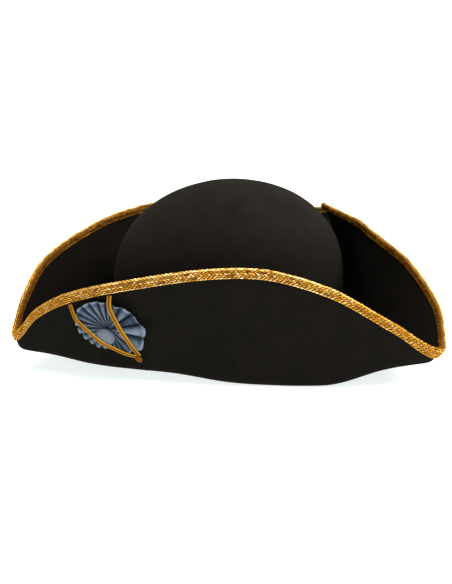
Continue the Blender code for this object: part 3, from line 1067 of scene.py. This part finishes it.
@dataclass
class Cockade:
    """A ribbon gathered at its middle into a fan of pleats, lying on the flap."""

    flap: Flap
    hub: tuple[float, float] = (-2.4 * MM, -2.4 * MM)
    droop: tuple[float, float] = (0.22, 0.02)
    cloth: float = 0.35 * MM
    crease: float = 2.6
    swing: float = 0.42
    scallop: float = 0.06
    crumple: float = 0.16 * MM
    hub_share: float = 0.02
    base_shade: float = 0.10
    ridge_shade: float = 0.60
    rim_light: float = 0.50
    rim_shadow: float = 0.22
    columns: int = 616
    rows: int = 26
    levels: tuple[Level, ...] = (
        Level(0.00, 1.6 * MM, 1.9 * MM),
        Level(0.12, 2.0 * MM, 4.2 * MM),
        Level(0.35, 1.9 * MM, 5.4 * MM),
        Level(0.70, 1.5 * MM, 6.0 * MM),
        Level(1.00, 0.9 * MM, 5.6 * MM),
    )
    pleats: tuple[Pleat, ...] = (
        Pleat(-170, 25.0 * MM, 0.70, 0.2, 0.10),
        Pleat(-153, 22.4 * MM, 0.72, 0.2, 0.10),
        Pleat(-137, 20.4 * MM, 0.78, 0.2, 0.10),
        Pleat(-119, 19.6 * MM, 0.78, 0.2, 0.10),
        Pleat(-101, 18.4 * MM, 0.76, 0.2, 0.05),
        Pleat(-84, 18.4 * MM, 0.75, -0.3, 0.0),
        Pleat(-70, 19.6 * MM, 0.85, -0.4, 0.0),
        Pleat(-60, 22.4 * MM, 0.95, -0.5, 0.05),
        Pleat(-50, 26.0 * MM, 0.85, -0.5, 0.0),
        Pleat(-29, 30.8 * MM, 1.05, -0.2, 0.10),
        Pleat(-3, 30.0 * MM, 1.50, 0.7, 0.26),
        Pleat(20, 24.8 * MM, 0.80, 0.2, -0.42),
        Pleat(45, 24.4 * MM, 1.40, 0.6, 0.10),
        Pleat(69, 21.2 * MM, 1.00, 0.5, -0.05),
        Pleat(84, 22.4 * MM, 1.00, 0.3, 0.0),
        Pleat(99, 23.8 * MM, 1.00, 0.3, 0.05),
        Pleat(115, 25.9 * MM, 1.00, 0.3, 0.05),
        Pleat(131, 27.5 * MM, 0.95, 0.3, 0.05),
        Pleat(146, 28.6 * MM, 0.90, 0.3, 0.0),
        Pleat(160, 28.2 * MM, 0.80, 0.3, 0.0),
        Pleat(174, 26.8 * MM, 0.72, 0.3, 0.05),
    )

    def _wave(self, turn: np.ndarray) -> tuple[np.ndarray, ...]:
        """What the pleats do in some directions.

        Args:
            turn: Directions in degrees, from -180 to 180.

        Returns:
            The share of a ridge from 0 in a valley, the pleats' reach and rise, the
            sideways shift of the cloth in degrees, and its shade.
        """
        table = np.array(self.pleats)
        around = np.array([360, 0, 0, 0, 0])
        table = np.concatenate([table[-1:] - around, table, table[:1] + around])
        ridges = table[:, 0]
        n = np.clip(np.searchsorted(ridges, turn, side="right") - 1, 0, len(ridges) - 2)
        gap = ridges[n + 1] - ridges[n]
        x = (turn - ridges[n]) / gap
        ridge = 1 - (1 - np.abs(2 * x - 1)) ** self.crease
        ease = x * x * (3 - 2 * x)
        reach, rise, lean, shade = (table[n, k] * (1 - ease) + table[n + 1, k] * ease for k in (1, 2, 3, 4))
        reach = reach * (1 - self.scallop + self.scallop * ridge)
        return ridge, reach, rise, lean * ridge * gap * self.swing, shade

    def build(self) -> bpy.types.Object:
        """Returns the pleated ribbon."""
        ribbon = add_grid("cockade_pleats", self.columns, self.rows)
        around, share, _ = mesh_points(ribbon).T
        share = share**0.9
        turn = around * 360.0 - 180.0
        ridge, reach, rise, shift, shade = self._wave(turn)
        levels = np.array(self.levels)
        valley = np.interp(share, levels[:, 0], levels[:, 1])
        crest = np.interp(share, levels[:, 0], levels[:, 2]) * rise
        # Two waves whose counts have no common part crumple the silk without a pattern.
        crumple = np.sin(np.radians(turn) * 37 + share * 23) * np.sin(share * 11 + around * 60)
        height = valley + (crest - valley) * ridge + self.crumple * crumple * share
        heading = np.radians(turn + shift * share**0.7)
        spread = np.stack([np.cos(heading), np.sin(heading)], axis=1) * reach[:, None]
        places = np.array(self.hub) + spread * np.maximum(share, self.hub_share)[:, None]
        places += np.array(self.droop) * height[:, None]
        felt = self.flap.cast(self.flap.tree, places)
        move_points(ribbon, self.flap.points(places, felt + height))
        # Painted light and shade: ridges painted lighter than valleys, each pleat's painted shade (the dark
        # hollow, the bright curled rim), a painted highlight along the free edge and a painted shadow just
        # inside it.
        light = self.rim_light * np.exp(-(((share - 1.0) / 0.045) ** 2))
        light -= self.rim_shadow * np.exp(-(((share - 0.88) / 0.05) ** 2))
        fold = self.base_shade + self.ridge_shade * ridge + shade + light
        set_attribute(ribbon, "fold", np.clip(fold, 0, 1))
        edit_all(ribbon, merge(0.002 * MM), face_outwards)
        self._face_out(ribbon)
        add_modifier(ribbon, "SOLIDIFY", thickness=self.cloth, offset=-1.0)
        finish_piece(ribbon, SILK.make(), ["cockade_ribbon"])
        return ribbon

    def _face_out(self, ribbon: bpy.types.Object) -> None:
        """Turns the open sheet's faces away from the felt."""
        normals = np.array([polygon.normal for polygon in ribbon.data.polygons])
        if (normals @ self.flap.out).mean() < 0:
            edit_all(ribbon, bpy.ops.mesh.flip_normals)


@dataclass
class Button:
    """A button covered in ribbon, over the pleats' hub."""

    flap: Flap
    node: str = "cockade_button"
    width_share: float = 0.86
    fullness: float = 0.55
    back: float = 0.45
    seat_share: float = 0.35
    crumple: float = 0.12 * MM
    creases: int = 17
    shift: tuple[float, float] = (-1.6 * MM, -2.4 * MM)

    def build(self) -> bpy.types.Object:
        """Returns the covered button."""
        points = mesh_points(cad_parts[self.node])
        middle = self.flap.place_of(points.mean(axis=0)) + self.shift
        off = self.flap.off(points)
        radius = np.ptp((points - self.flap.centre) @ self.flap.along) / 2
        button = add_ball("button_cover", 48, 24)
        x, y, z = mesh_points(button).T
        spread = np.hypot(x, y)
        edge = np.where(spread > 1e-6, spread ** (self.fullness - 1), 0.0)
        places = turned(x * edge * radius, y * edge * radius * self.width_share, self.flap.turn)
        rise = np.where(z > 0, z, z * self.back)
        crumple = self.crumple * np.sin(np.arctan2(y, x) * self.creases) * spread**4
        seat = off.min() + np.ptp(off) * self.seat_share
        tall = np.ptp(off) * (1 - self.seat_share)
        move_points(button, self.flap.points(places + middle, seat + rise * tall + crumple))
        # Painted light: the cover is painted lighter towards the top of its dome.
        set_attribute(button, "fold", 0.45 + 0.4 * np.clip(z, 0, 1))
        edit_all(button, face_outwards)
        return finish_piece(button, BUTTON_CLOTH.make(), [self.node])


class Spot(NamedTuple):
    """A chosen point of the loop, in shares of the cockade's length from its centre."""

    along: float
    up: float


@dataclass
class LoopLeg:
    """One leg of the loop: flat plaited cord drawn tight over the cockade."""

    flap: Flap
    name: str
    node: str
    spots: tuple[Spot, ...]
    over: Sequence[bpy.types.Object]
    width: float = 3.7 * MM
    thick: float = 1.6 * MM
    steps: int = 150
    sides: int = 20
    easing: int = 40
    window: int = 17
    tightness: float = 0.9
    bite: float = 0.3 * MM
    groove: float = 0.45
    groove_width: float = 0.22
    probes: tuple[float, ...] = (-0.3, 0.0, 0.3)

    def _course(self) -> tuple[np.ndarray, np.ndarray]:
        """Finds the leg's way over the cockade.

        Returns:
            Its places on the flap, and how far off the plane its underside runs.
        """
        solid = mesh_points(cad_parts[self.node])
        flat = np.array([self.flap.place_of(point) for point in solid])
        start = flat[flat[:, 1] > flat[:, 1].max() - self.width / 3].mean(axis=0)
        chosen = np.concatenate([[start], np.array(self.spots) * 2 * self.flap.reach[0]])
        places = smooth_curve(chosen, self.steps)
        for _ in range(self.easing):
            places[1:-1] = (places[:-2] + 2 * places[1:-1] + places[2:]) / 4
        steps = np.linalg.norm(np.diff(places, axis=0), axis=1)
        walked = np.concatenate([[0], np.cumsum(steps)])
        aside = unit(np.gradient(places, axis=0))[:, ::-1] * [-1, 1]
        tops = []
        graph = bpy.context.evaluated_depsgraph_get()
        for piece in (self.flap.felt, *self.over):
            tree = BVHTree.FromObject(piece, graph)
            for share in self.probes:
                hits = self.flap.cast(tree, places + aside * self.width * share)
                tops.append(np.where(np.isnan(hits), -1.0, hits))
        return places, self._drawn_tight(walked, np.max(tops, axis=0))

    def _drawn_tight(self, walked: np.ndarray, tops: np.ndarray) -> np.ndarray:
        """Draws the cord tight over what lies under it.

        Args:
            walked: How far along the cord each height is read.
            tops: The highest point under the cord there.

        Returns:
            The cord's height there: nearly that of a tight string, the profile's upper hull.
        """
        hull: list[int] = []
        for n in range(len(walked)):
            while len(hull) > 1:
                a, b = hull[-2], hull[-1]
                bent = (tops[b] - tops[a]) * (walked[n] - walked[a])
                if bent > (tops[n] - tops[a]) * (walked[b] - walked[a]):
                    break
                hull.pop()
            hull.append(n)
        tight = np.interp(walked, walked[hull], tops[hull])
        return tight * self.tightness + tops * (1 - self.tightness)

    def build(self, finish: SoutacheFinish) -> bpy.types.Object:
        """Makes the leg.

        Args:
            finish: The cord's finish.

        Returns:
            The leg.
        """
        places, under = self._course()
        weights = np.hanning(self.window) / np.hanning(self.window).sum()
        padded = np.pad(under, self.window // 2, mode="edge")
        under = np.maximum(np.convolve(padded, weights, "valid"), under - self.bite)
        leg = add_grid(self.name, self.steps - 1, self.sides)
        along, around, _ = mesh_points(leg).T
        n = np.rint(along * (self.steps - 1)).astype(int)
        cos, sin = np.cos(around * 2 * math.pi), np.sin(around * 2 * math.pi)
        plump = np.abs(sin) ** 0.84
        lobe = 1.0 - self.groove * np.exp(-((cos / self.groove_width) ** 2))
        lift = self.thick / 2 + np.sign(sin) * plump * lobe * self.thick / 2
        forward = unit(np.gradient(places, axis=0))
        side = np.stack([-forward[:, 1], forward[:, 0]], axis=1)[n]
        spread = side * (cos * self.width / 2)[:, None]
        move_points(leg, self.flap.points(places[n] + spread, under[n] + lift))
        set_attribute(leg, "aside", cos)
        edit_all(leg, merge(WELD), close_holes, face_outwards)
        return finish_piece(leg, finish.make(), [self.node])


@dataclass
class CordLoop:
    """The loop from the braid down both sides of the button, and its knot."""

    flap: Flap
    over: Sequence[bpy.types.Object]
    front: tuple[Spot, ...] = (
        Spot(-0.450, 0.099),
        Spot(-0.350, 0.005),
        Spot(-0.235, -0.084),
        Spot(-0.099, -0.173),
        Spot(0.047, -0.272),
        Spot(0.183, -0.361),
        Spot(0.350, -0.460),
    )
    rear: tuple[Spot, ...] = (
        Spot(0.013, 0.314),
        Spot(0.049, 0.209),
        Spot(0.094, 0.115),
        Spot(0.155, -0.008),
        Spot(0.224, -0.141),
        Spot(0.291, -0.272),
        Spot(0.350, -0.435),
    )
    front_width: float = 3.1 * MM
    rear_width: float = 3.7 * MM
    knot_node: str = "loop_knot"
    knot_shift: tuple[float, float] = (-1.2 * MM, 0.0)
    knot_half: tuple[float, float, float] = (3.6 * MM, 2.6 * MM, 1.7 * MM)
    knot_lift: float = 1.5 * MM
    knot_turn: float = -42.0
    thread: float = 0.09

    def _knot(self) -> bpy.types.Object:
        """Returns the sewn end, an oval lump with a few turns of thread round it."""
        points = mesh_points(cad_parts[self.knot_node])
        middle = self.flap.place_of(points.mean(axis=0)) + self.knot_shift
        seat = self.flap.off(points).min() + self.knot_lift
        knot = add_ball("loop_end", 32, 32)
        z, y, x = mesh_points(knot).T
        ridges = 1.0 + self.thread * np.cos(x * 4 * math.pi)
        long, short, tall = self.knot_half
        places = turned(x * long, y * short * ridges, self.knot_turn)
        move_points(knot, self.flap.points(places + middle, seat + z * tall * ridges))
        set_attribute(knot, "aside", np.clip(np.abs(np.cos(x * 2 * math.pi)), 0, 1))
        edit_all(knot, face_outwards)
        return finish_piece(knot, DULL_CORD.make(), [self.knot_node])

    def build(self) -> list[bpy.types.Object]:
        """Returns both legs and the knot."""
        front = LoopLeg(self.flap, "loop_front", "loop_cord_front", self.front, self.over, self.front_width)
        rear = LoopLeg(self.flap, "loop_rear", "loop_cord_rear", self.rear, self.over, self.rear_width)
        return [front.build(CORD), rear.build(CORD), self._knot()]


# Studio


class Lamp(Enum):
    """The studio's soft lights: place, size in metres and power in watts."""

    KEY = ((0.5, -1.0, 1.9), 0.9, 28.0)
    SIDE = ((1.6, -0.3, 1.2), 0.9, 34.0)
    TOP = ((-0.2, 0.45, 2.0), 1.2, 50.0)


@dataclass
class Studio:
    """Pale floor, soft light and the photograph's camera."""

    floor_size: float = 60.0
    floor_drop: float = 0.2 * MM
    floor_glow: float = 0.84
    sky: float = 0.40
    aim: tuple[float, float, float] = (0.0, 0.0, 50 * MM)
    elevation: float = 17.8
    azimuth: float = -24.7
    roll: float = 0.5
    distance: float = 1.041
    focal_pixels: float = 1195.5
    target_pixel: tuple[float, float] = (229.7, 273.0)
    picture: tuple[int, int] = (452, 584)
    sensor: float = 36.0
    target: tuple[float, float, float] = (35.2 * MM, 0.0, 59.1 * MM)

    def _floor(self) -> None:
        """A plain pale floor."""
        bpy.ops.object.select_all(action="DESELECT")
        bpy.ops.mesh.primitive_plane_add(size=self.floor_size, location=(0, 0, -self.floor_drop))
        floor = named("floor")
        bench = Bench("pale_floor")
        shade = bench.noise(bench.place(), 3.0)
        colour = bench.ramp(shade, (0.3, (0.53, 0.56, 0.56)), (0.7, (0.56, 0.58, 0.58)))
        sockets = {"Base Color": colour, "Roughness": 0.9, "Specular IOR Level": 0.1}
        glow = {"Emission Color": (0.94, 1.0, 1.0), "Emission Strength": self.floor_glow}
        floor.data.materials.append(bench.dress({**sockets, **glow}))

    def _lights(self) -> None:
        """Soft area lights and a bright even sky."""
        for lamp in Lamp:
            place, size, power = lamp.value
            data = bpy.data.lights.new(lamp.name.lower(), "AREA")
            data.size = size
            data.energy = power
            light = bpy.data.objects.new(lamp.name.lower(), data)
            bpy.context.scene.collection.objects.link(light)
            light.location = place
            light.rotation_euler = (Vector(self.aim) - Vector(place)).to_track_quat("-Z", "Y").to_euler()
        world = bpy.data.worlds.new("studio")
        world.use_nodes = True
        background = world.node_tree.nodes["Background"]
        background.inputs["Color"].default_value = (0.97, 1.0, 1.0, 1.0)
        background.inputs["Strength"].default_value = self.sky
        bpy.context.scene.world = world

    def _camera(self) -> None:
        """The photograph's viewpoint, found from the hat's outlines."""
        tall, turn = math.radians(self.elevation), math.radians(self.azimuth)
        back = Vector((math.sin(turn) * math.cos(tall), -math.cos(turn) * math.cos(tall), math.sin(tall)))
        data = bpy.data.cameras.new("camera")
        camera = bpy.data.objects.new("camera", data)
        bpy.context.scene.collection.objects.link(camera)
        camera.location = Vector(self.target) + back * self.distance
        facing = (-back).to_track_quat("-Z", "Y").to_matrix()
        camera.rotation_euler = (facing @ Matrix.Rotation(math.radians(self.roll), 3, "Z")).to_euler()
        longest = max(self.picture)
        data.sensor_width = self.sensor
        data.lens = self.focal_pixels * self.sensor / longest
        data.shift_x = -(self.target_pixel[0] - self.picture[0] / 2) / longest
        data.shift_y = (self.target_pixel[1] - self.picture[1] / 2) / longest
        data.clip_start = 0.05
        bpy.context.scene.camera = camera

    def build(self) -> None:
        """Sets the stage."""
        self._floor()
        self._lights()
        self._camera()
        bpy.context.scene.view_settings.view_transform = "Standard"


def main() -> None:
    """Builds every piece in order and reports it."""
    logging.basicConfig(level=logging.INFO, format="%(name)s %(message)s")
    felt = FeltBody().build()
    EdgeBraid(Rim()).build()
    flap = Flap(felt)
    ribbon = Cockade(flap).build()
    button = Button(flap).build()
    CordLoop(flap, (ribbon, button)).build()
    Studio().build()


if __name__ == "__main__":
    main()
